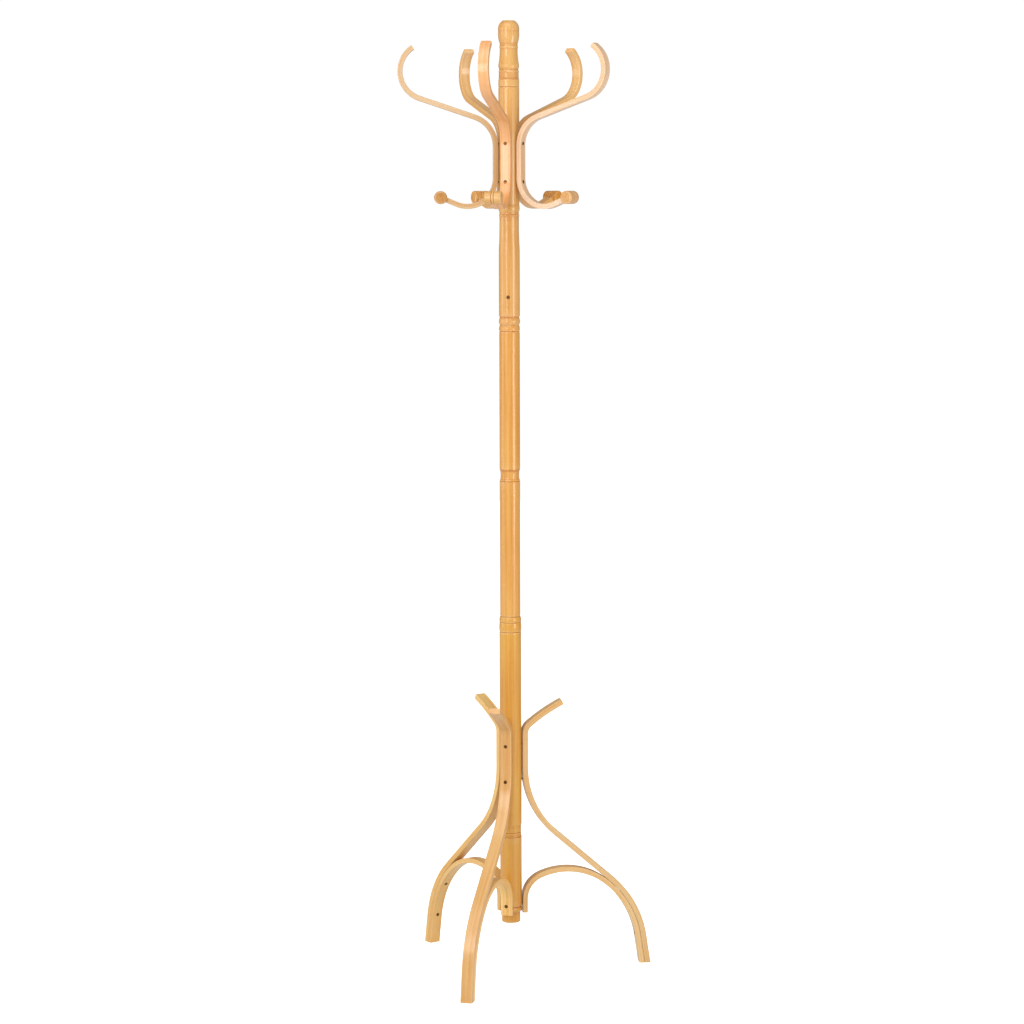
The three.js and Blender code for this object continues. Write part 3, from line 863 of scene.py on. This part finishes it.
def carry_on(point, length):
    """The point carried straight on along its heading."""
    x, z, heading = point
    return x + length * math.cos(heading), z + length * math.sin(heading), heading


def under_floor(point):
    """The point carried straight on until it is a little under the floor."""
    return carry_on(point, (-BELOW_FLOOR - point[1]) / math.sin(point[2]))


HOOK_CUP = walk(
    (HOOK_X, HOOK_STRAIGHT_BOTTOM), -90, [("bend", *HOOK_CUP_BEND), ("run", HOOK_CUP_RUN)]
)
PEG_CENTRE = HOOK_CUP[-1]


def hook_path():
    """From the peg, round the cup, up the pole, and out over the crook to the free end."""
    crook = walk((HOOK_X, HOOK_STRAIGHT_BOTTOM), 90, [
        ("run", HOOK_STRAIGHT), ("bend", *HOOK_SHOULDER), ("run", HOOK_RUN), ("bend", *HOOK_CROOK),
    ])
    cup = HOOK_CUP[:-1] + [carry_on(PEG_CENTRE, MORTISE_DEPTH - PEG_RADIUS)]
    return [*backward(cup), *crook[1:]]


def leg_path():
    """From the tip of the flare, down the pole, out over the knee and down the shin."""
    flare = walk((LEG_X, LEG_STRAIGHT_TOP), 90, [("bend", *LEG_FLARE), ("bend", *LEG_FLARE_TIP)])
    down = walk((LEG_X, LEG_STRAIGHT_TOP), -90, [
        ("run", LEG_STRAIGHT), ("bend", *LEG_KNEE), ("run", LEG_RUN), ("bend", *LEG_SHIN),
    ])
    return [*backward(flare), *down[1:], under_floor(down[-1])]


SHIN_BEND = LEG_SHIN[0] - LEG_THICKNESS / 2 - GAP - BRACE_THICKNESS / 2


def brace_path():
    """Up the pole, over an arch that is tangent to both sides, and down against the leg."""
    knee = walk(
        (LEG_X, LEG_STRAIGHT_TOP - LEG_STRAIGHT), -90, [("bend", *LEG_KNEE), ("run", LEG_RUN)]
    )
    x, z, heading = knee[-1]
    along = Vector((math.cos(heading), math.sin(heading)))
    inward = Vector((along.y, -along.x))
    inset = LEG_SHIN[0] - SHIN_BEND
    pole_centre = Vector((BRACE_X + BRACE_POLE_BEND, BRACE_POLE_END + BRACE_POLE_STRAIGHT))
    from_shin = Vector((x, z)) + inward * (inset + BRACE_ARCH_BEND) - pole_centre
    apart = BRACE_ARCH_BEND - BRACE_POLE_BEND
    lead = from_shin.dot(along)
    slide = lead - math.sqrt(lead ** 2 - from_shin.length_squared + apart ** 2)
    arch_centre = from_shin - along * slide
    pole_turn = 180 - math.degrees(math.atan2(-arch_centre.y, -arch_centre.x))
    path = walk((BRACE_X, BRACE_POLE_END), 90, [
        ("run", BRACE_POLE_STRAIGHT),
        ("bend", BRACE_POLE_BEND, -pole_turn),
        ("bend", BRACE_ARCH_BEND, pole_turn - 90 + math.degrees(heading)),
        ("run", slide),
        ("bend", SHIN_BEND, LEG_SHIN[1]),
    ])
    return [*path, under_floor(path[-1])], path[-1]


BRACE_PATH, BRACE_FOOT = brace_path()
SHIN_CENTRE = (
    BRACE_FOOT[0] + SHIN_BEND * math.sin(BRACE_FOOT[2]),
    BRACE_FOOT[1] - SHIN_BEND * math.cos(BRACE_FOOT[2]),
)


# ------------------------------------------------------------------ screw places

def level_screws(face_x, heights, length):
    """Screws that go level into the pole: (head, way out, length)."""
    return [(Vector((face_x - SCREW_SUNK, 0, z)), Vector((1, 0, 0)), length) for z in heights]


def brace_leg_screws():
    """Screws through the brace into the leg, square to the bend that they share."""
    screws = []
    for height in BRACE_LEG_SCREWS:
        out = math.asin((height - SHIN_CENTRE[1]) / SHIN_BEND)
        radius = SHIN_BEND - BRACE_THICKNESS / 2 + SCREW_SUNK
        away = Vector((math.cos(out), 0, math.sin(out)))
        head = Vector((SHIN_CENTRE[0], 0, SHIN_CENTRE[1])) + away * radius
        screws.append((head, -away, BRACE_LEG_SCREW_LENGTH))
    return screws


HOOK_SCREW_PLACES = level_screws(HOOK_X + HOOK_THICKNESS / 2, HOOK_SCREWS, POLE_SCREW_LENGTH)
LEG_SCREW_PLACES = level_screws(LEG_X + LEG_THICKNESS / 2, LEG_SCREWS, POLE_SCREW_LENGTH)
BRACE_SCREW_PLACES = [
    *level_screws(BRACE_X + BRACE_THICKNESS / 2, (BRACE_POLE_SCREW,), POLE_SCREW_LENGTH),
    *brace_leg_screws(),
]
RETAINER_PLACE = level_screws(SHAFT_RADIUS, (CROWN_JOINT + RETAINER_RISE,), RETAINER_LENGTH)


# ------------------------------------------------------------------ geometry nodes

def instances_of(make, points, shape):
    """A shape made along Z, put on points and turned to their "facing" and "spin"."""
    facing = make.read("facing", "FLOAT_VECTOR")
    spun = make.node("FunctionNodeEulerToRotation", {"Euler": make.xyz(Z=make.read("spin"))})
    turn = make.node("FunctionNodeAlignRotationToVector", {"Vector": facing}, axis="Z")
    both = make.node("FunctionNodeRotateRotation", {0: turn, 1: spun}, rotation_space="LOCAL")
    sockets = {"Points": points, "Instance": shape, "Rotation": both}
    placed = make.node("GeometryNodeInstanceOnPoints", sockets)
    return make.node("GeometryNodeRealizeInstances", {0: placed})


def shifted(make, shape, **offset):
    """A shape moved along X, Y or Z."""
    sockets = {"Geometry": shape, "Translation": make.xyz(**offset)}
    return make.node("GeometryNodeTransform", sockets)


def cone(make, low, high, depth, rise=0.0):
    """A closed cone or cylinder along Z, from the radius at its foot to that at its top."""
    sizes = {"Vertices": HOLE_SIDES, "Radius Top": high, "Radius Bottom": low, "Depth": depth}
    return shifted(make, make.node("GeometryNodeMeshCone", sizes), Z=rise)


def make_strip_tree():
    """Sweeps a rounded section along the edges it is given, drills it at the loose points,
    and cuts it level at the floor."""
    tree = new_tree(
        "bent_strip", "GeometryNodeTree",
        [
            ("Geometry", "Geometry"),
            ("Float", "Width", HOOK_WIDTH), ("Float", "Thickness", HOOK_THICKNESS),
            ("Float", "Edge Radius", EDGE), ("Int", "Edge Steps", EDGE_STEPS),
            ("Float", "Head Radius", HOLE_HEAD_RADIUS), ("Float", "Head Depth", HOLE_HEAD_DEPTH),
            ("Float", "Shank Radius", HOLE_SHANK_RADIUS), ("Float", "Floor Cut", 0.0),
            ("Material", "Wood"), ("Material", "Drilled"),
        ],
        [("Geometry", "Geometry")],
    )
    make = Maker(tree)
    given = make.node("NodeGroupInput").outputs
    is_hole = make.math("GREATER_THAN", make.read("drill"), 0.5)
    lines_and_points = {"Geometry": given["Geometry"], "Selection": is_hole}
    split = make.node("GeometryNodeSeparateGeometry", lines_and_points, domain="POINT").outputs

    line = make.node("GeometryNodeMeshToCurve", {"Mesh": split["Inverted"]})
    upright = make.node("GeometryNodeSetCurveNormal", {"Curve": line, "Normal": (0, 1, 0)}, mode="FREE")
    along = make.store(upright, "along", make.node("GeometryNodeSplineParameter").outputs["Length"])
    section = make.node(
        "GeometryNodeCurvePrimitiveQuadrilateral",
        {"Width": given["Width"], "Height": given["Thickness"]},
    )
    rounded = make.node("GeometryNodeFilletCurve", {
        "Curve": section, "Count": given["Edge Steps"], "Radius": given["Edge Radius"],
        "Limit Radius": True,
    }, mode="POLY")
    across = make.store(rounded, "across", make.node("GeometryNodeInputPosition"), "FLOAT_VECTOR")
    swept = make.node(
        "GeometryNodeCurveToMesh", {"Curve": along, "Profile Curve": across, "Fill Caps": True}
    )

    # the grain runs x over the width, y through the thickness and z along the strip
    over = make.parts(make.read("across", "FLOAT_VECTOR"))
    grain = make.xyz(X=over[0], Y=over[1], Z=make.read("along"))
    plain = make.store(swept, "grain", grain, "FLOAT_VECTOR")

    shank, head, depth = given["Shank Radius"], given["Head Radius"], given["Head Depth"]
    tool = make.node("GeometryNodeMeshBoolean", operation="UNION", solver="EXACT")
    make.join(
        tool.inputs[1],
        cone(make, shank, head, depth, make.scaled(depth, -1.0)),
        cone(make, head, head, HOLE_MOUTH),
        cone(make, shank, shank, HOLE_BORE + HOLE_OVERLAP, -HOLE_BORE),
    )
    holes = instances_of(make, split["Selection"], tool)
    # the slab's top is level with the floor where Floor Cut is 1, and a metre lower where it is 0
    slab = make.node("GeometryNodeMeshCube", {"Size": FLOOR_SLAB})
    lift = make.math("SUBTRACT", given["Floor Cut"], 1 + FLOOR_SLAB[2] / 2)
    tools = make.node("GeometryNodeJoinGeometry")
    make.join(tools.inputs[0], holes, shifted(make, slab, Z=lift))
    marked = make.store(tools, "drilled", 1.0, domain="FACE")
    cut = make.node("GeometryNodeMeshBoolean", operation="DIFFERENCE", solver="EXACT")
    make.join(cut.inputs[0], plain)
    make.join(cut.inputs[1], marked)

    # points that the cuts made take their grain from the uncut strip
    near = make.node("GeometryNodeSampleNearestSurface", {"Mesh": plain}, data_type="FLOAT_VECTOR")
    make.feed(near.inputs["Value"], make.read("grain", "FLOAT_VECTOR"))
    whole = make.store(cut, "grain", near, "FLOAT_VECTOR")
    real = make.node("GeometryNodeRealizeInstances", {0: whole})
    wooden = make.node("GeometryNodeSetMaterial", {"Geometry": real, "Material": given["Wood"]})
    # the walls of the holes above the floor take bare wood painted dark as their shade
    height = make.parts(make.node("GeometryNodeInputPosition"))[2]
    above = make.math("GREATER_THAN", height, CLEAR_OF_FLOOR)
    bare = make.math("MULTIPLY", make.math("GREATER_THAN", make.read("drilled"), 0.5), above)
    drilled = {"Geometry": wooden, "Selection": bare, "Material": given["Drilled"]}
    done = make.node("GeometryNodeSetMaterial", drilled)
    make.node("NodeGroupOutput", {"Geometry": done})
    return tree


def make_screw_tree():
    """A countersunk screw with a cross recess on each point, as long as the point's reach."""
    tree = new_tree(
        "wood_screws", "GeometryNodeTree",
        [
            ("Geometry", "Geometry"), ("Float", "Head Radius", SCREW_HEAD_RADIUS),
            ("Float", "Head Depth", SCREW_HEAD_DEPTH), ("Float", "Rim", SCREW_RIM),
            ("Float", "Shank Radius", SCREW_SHANK_RADIUS), ("Float", "Point Length", SCREW_POINT),
            ("Float", "Tip Radius", SCREW_TIP_RADIUS), ("Float", "Recess Reach", RECESS_REACH),
            ("Float", "Recess Width", RECESS_WIDTH), ("Float", "Recess Depth", RECESS_DEPTH),
            ("Material", "Steel"),
        ],
        [("Geometry", "Geometry")],
    )
    make = Maker(tree)
    given = make.node("NodeGroupInput").outputs

    # rings of one closed shell, from the tip up: tip, end of the shank, neck, under the rim, top
    under_head = make.scaled(given["Head Depth"], -1.0)
    rings = (
        (given["Tip Radius"], -SHORTEST_SCREW),
        (given["Shank Radius"], make.math("SUBTRACT", given["Point Length"], SHORTEST_SCREW)),
        (given["Shank Radius"], under_head),
        (given["Head Radius"], make.scaled(given["Rim"], -1.0)),
        (given["Head Radius"], 0.0),
    )
    steps = len(rings) - 1
    sizes = {"Vertices": SCREW_SIDES, "Side Segments": steps, "Radius": 1.0, "Depth": steps}
    column = make.node("GeometryNodeMeshCylinder", sizes)
    place = make.parts(make.node("GeometryNodeInputPosition"))
    ring = make.math("ADD", place[2], steps / 2 + 0.5)
    radii = make.node("GeometryNodeIndexSwitch", data_type="FLOAT")
    heights = make.node("GeometryNodeIndexSwitch", data_type="FLOAT")
    whole_ring = make.node("FunctionNodeFloatToInt", {0: ring}, rounding_mode="FLOOR")
    for switch, measure in ((radii, 0), (heights, 1)):
        while len(switch.index_switch_items) < len(rings):
            switch.index_switch_items.new()
        make.feed(switch.inputs[0], whole_ring)
        for index, measures in enumerate(rings, 1):
            make.feed(switch.inputs[index], measures[measure])
    radius = radii.outputs[0]
    spot = make.xyz(
        X=make.math("MULTIPLY", place[0], radius), Y=make.math("MULTIPLY", place[1], radius), Z=heights
    )
    body = make.node("GeometryNodeSetPosition", {"Geometry": column, "Position": spot})

    wing = make.scaled(given["Recess Reach"], 2.0)
    deep = make.scaled(given["Recess Depth"], 2.0)
    recessed = make.node("GeometryNodeMeshBoolean", operation="DIFFERENCE", solver="EXACT")
    make.join(recessed.inputs[0], body)
    for long_way, narrow_way in (("X", "Y"), ("Y", "X")):
        size = make.xyz(**{long_way: wing, narrow_way: given["Recess Width"], "Z": deep})
        make.join(recessed.inputs[1], make.node("GeometryNodeMeshCube", {"Size": size}))

    # the end of the shank and the tip go down to the reach of each screw's point
    height = make.parts(make.node("GeometryNodeInputPosition"))[2]
    low = make.math("LESS_THAN", height, make.math("SUBTRACT", under_head, BELOW_HEAD))
    placed = instances_of(make, given["Geometry"], make.store(recessed, "low", low))
    longer = make.math("SUBTRACT", SHORTEST_SCREW, make.read("reach"))
    move = make.node("ShaderNodeVectorMath", {0: make.read("facing", "FLOAT_VECTOR")}, operation="SCALE")
    make.feed(move.inputs["Scale"], make.math("MULTIPLY", make.read("low"), longer))
    real = make.node("GeometryNodeSetPosition", {"Geometry": placed, "Offset": move})
    done = make.node("GeometryNodeSetMaterial", {"Geometry": real, "Material": given["Steel"]})
    make.node("NodeGroupOutput", {"Geometry": done})
    return tree


STRIP_TREE = make_strip_tree()
SCREW_TREE = make_screw_tree()


def run_tree(obj, tree, values):
    """Puts a tree on an object, its inputs set by the identifiers of their names."""
    modifier = obj.modifiers.new(tree.name, "NODES")
    modifier.node_group = tree
    for item in tree.interface.items_tree:
        if item.in_out == "INPUT" and item.name in values:
            modifier[item.identifier] = values[item.name]


def points_mesh(name, edges_along, screws, drill):
    """A line of points joined by edges, and loose points for screws."""
    points = [(x, 0, z) for x, z, _ in edges_along] + [tuple(head) for head, _, _ in screws]
    mesh = bpy.data.meshes.new(name)
    mesh.from_pydata(points, [(i, i + 1) for i in range(len(edges_along) - 1)], [])
    count = len(edges_along)
    put(mesh, "facing", [(0, 0, 1)] * count + [tuple(out) for _, out, _ in screws], "FLOAT_VECTOR")
    put(mesh, "reach", [0.0] * count + [length for _, _, length in screws])
    put(mesh, "spin", [0.0] * count + [SCREW_SPIN * index for index in range(len(screws))])
    put(mesh, "drill", [0.0] * count + [drill] * len(screws))
    return mesh


def arris_of(across, width, thickness):
    """1 in the middle of a rounded long edge, 0 on the flats."""
    from_side = width / 2 - abs(across[0])
    from_face = thickness / 2 - abs(across[1])
    if from_side > EDGE or from_face > EDGE:
        return 0.0
    return max(0.0, 1 - abs(from_side - from_face) / EDGE)


def bent_strip(name, path, width, thickness, screws, material, floor_cut=False):
    """A strip bent along a path in its station frame, drilled for its screws."""
    obj = add(bpy.data.objects.new(name, points_mesh(name, path, screws, 1.0)))
    run_tree(obj, STRIP_TREE, {
        "Width": width, "Thickness": thickness, "Edge Radius": EDGE, "Edge Steps": EDGE_STEPS,
        "Head Radius": HOLE_HEAD_RADIUS, "Head Depth": HOLE_HEAD_DEPTH,
        "Shank Radius": HOLE_SHANK_RADIUS, "Floor Cut": 1.0 if floor_cut else 0.0,
        "Wood": material, "Drilled": BARE_BEECH_IN_SHADE,
    })
    eased = obj.modifiers.new("eased ends", "BEVEL")
    eased.limit_method = "ANGLE"
    eased.angle_limit = END_ANGLE
    eased.width = END_EDGE
    eased.segments = 2
    mesh = settled(obj)
    shade(mesh)
    smooth = add(bpy.data.objects.new(name, mesh))
    weighted = smooth.modifiers.new("weighted", "WEIGHTED_NORMAL")
    weighted.keep_sharp = True
    mesh = settled(smooth)
    grain = [tuple(item.vector) for item in mesh.attributes["grain"].data]
    put(mesh, "arris", [arris_of(value, width, thickness) for value in grain])
    put(mesh, "hollow", [0.0] * len(grain))
    return mesh


def screws_piece(name, body, places, nodes):
    """All the screws of one body, as one mesh. Places are (azimuth, screws)."""
    screws = []
    for azimuth, group in places:
        turn = station(azimuth)
        screws += [(turn @ head, turn.to_3x3() @ out, length) for head, out, length in group]
    obj = add(bpy.data.objects.new(name, points_mesh(name, [], screws, 0.0)))
    run_tree(obj, SCREW_TREE, {"Steel": BRONZED_STEEL})
    mesh = settled(obj)
    shade(mesh)
    stand_in(name, mesh, body, nodes)


# ------------------------------------------------------------------ pieces

def hole_tool(screw, azimuth):
    """A cutter for a countersunk hole, with the material of bare wood painted dark as the shade in the
    hole.
    """
    head, out, _ = screw
    foot, sink, top = -SINK_FOOT, -SINK_TOP, HOLE_MOUTH
    wide, narrow = HOLE_HEAD_RADIUS, HOLE_SHANK_RADIUS
    profile = [(0, foot), (narrow, foot), (wide, sink), (wide, top), (0, top)]
    mesh = turned("hole", profile, HOLE_SIDES, BARE_BEECH_IN_SHADE)
    axis = out.to_track_quat("Z", "Y").to_matrix().to_4x4()
    mesh.transform(station(azimuth) @ Matrix.Translation(head) @ axis)
    return mesh


def make_pole():
    """The three turned sections, with the hole of the retaining screw in the top one."""
    for name, profile, body in (
        ("bottom", bottom_profile(), "stand"),
        ("middle", middle_profile(), "stand"),
        ("top", top_profile(), "crown"),
    ):
        mesh = turned(f"pole_{name}_turning", profile, POLE_SIDES, BEECH[f"pole_{name}"])
        if name == "top":
            mesh = carved(mesh, hole_tool(RETAINER_PLACE[0], RETAINER_AZIMUTH))
        stand_in(f"pole_{name}_turning", mesh, body, [f"pole_{name}"])


def peg_mesh():
    """A peg across the station plane, with a mortise for the end of its hook."""
    mesh = turned("peg", peg_profile(), PEG_SIDES, BEECH["peg_left"])
    level = Matrix.Rotation(-math.pi / 2, 4, "X")
    sizes = (2 * MORTISE_DEPTH, HOOK_WIDTH, HOOK_THICKNESS)
    stretch = Matrix.Diagonal((*(size + 2 * MORTISE_ROOM for size in sizes), 1))
    place = level.inverted() @ Matrix.Translation((-PEG_RADIUS, 0, 0))
    tool = bmesh.new()
    bmesh.ops.create_cube(tool, size=1, matrix=place @ stretch)
    cutter = bpy.data.meshes.new("mortise")
    tool.to_mesh(cutter)
    tool.free()
    # the mortise walls take bare wood painted dark as their shade
    cutter.materials.append(BARE_BEECH_IN_SHADE)
    mesh = carved(mesh, cutter)
    x, z, heading = PEG_CENTRE
    mesh.transform(Matrix.Translation((x, 0, z)) @ Matrix.Rotation(-heading, 4, "Y") @ level)
    return mesh


def in_wood(shape, piece):
    """A copy of a shape in the wood of one piece."""
    mesh = shape.copy()
    for slot, material in enumerate(mesh.materials):
        if material != BARE_BEECH_IN_SHADE:
            mesh.materials[slot] = BEECH[piece]
    return mesh


def dress(shapes, side, azimuth, grain_shift, body):
    """Puts the strips and pegs of one side at its azimuth, each in its own wood."""
    for kind, shape in shapes.items():
        mesh = in_wood(shape, f"{kind}_{side}")
        shift_grain(mesh, grain_shift)
        mesh.transform(station(azimuth))
        stand_in(f"{kind}_{side}_wood", mesh, body, [f"{kind}_{side}"])


def make_hooks():
    """Five hooks with their pegs, and the screws of the crown."""
    shapes = {
        "hook": bent_strip(
            "hook", hook_path(), HOOK_WIDTH, HOOK_THICKNESS, HOOK_SCREW_PLACES, BEECH["hook_left"]
        ),
        "peg": peg_mesh(),
    }
    places, nodes = [(RETAINER_AZIMUTH, RETAINER_PLACE)], ["crown_retaining_screw"]
    for index, side in enumerate(HOOKS):
        azimuth = azimuth_of(f"hook_{side}")
        dress(shapes, side, azimuth, index * HOOK_GRAIN_STEP, "crown")
        places.append((azimuth, HOOK_SCREW_PLACES))
        nodes += [f"hook_{side}_screw_upper", f"hook_{side}_screw_lower"]
    screws_piece("crown_screws", "crown", places, nodes)


def make_legs():
    """Three legs with their braces, and the screws of the stand."""
    shapes = {
        "leg": bent_strip(
            "leg", leg_path(), LEG_WIDTH, LEG_THICKNESS, LEG_SCREW_PLACES, BEECH["leg_front"], True
        ),
        "brace": bent_strip(
            "brace", BRACE_PATH, LEG_WIDTH, BRACE_THICKNESS, BRACE_SCREW_PLACES, BEECH["brace_front"], True
        ),
    }
    places, nodes = [], []
    for index, side in enumerate(LEGS):
        azimuth = azimuth_of(f"leg_{side}")
        dress(shapes, side, azimuth, index * LEG_GRAIN_STEP, "stand")
        places.append((azimuth, LEG_SCREW_PLACES + BRACE_SCREW_PLACES))
        nodes += [f"leg_{side}_screw_upper", f"leg_{side}_screw_lower", f"brace_{side}_pole_screw"]
        nodes += [f"brace_{side}_leg_screw_upper", f"brace_{side}_leg_screw_lower"]
    screws_piece("stand_screws", "stand", places, nodes)


make_studio()
make_pole()
make_hooks()
make_legs()
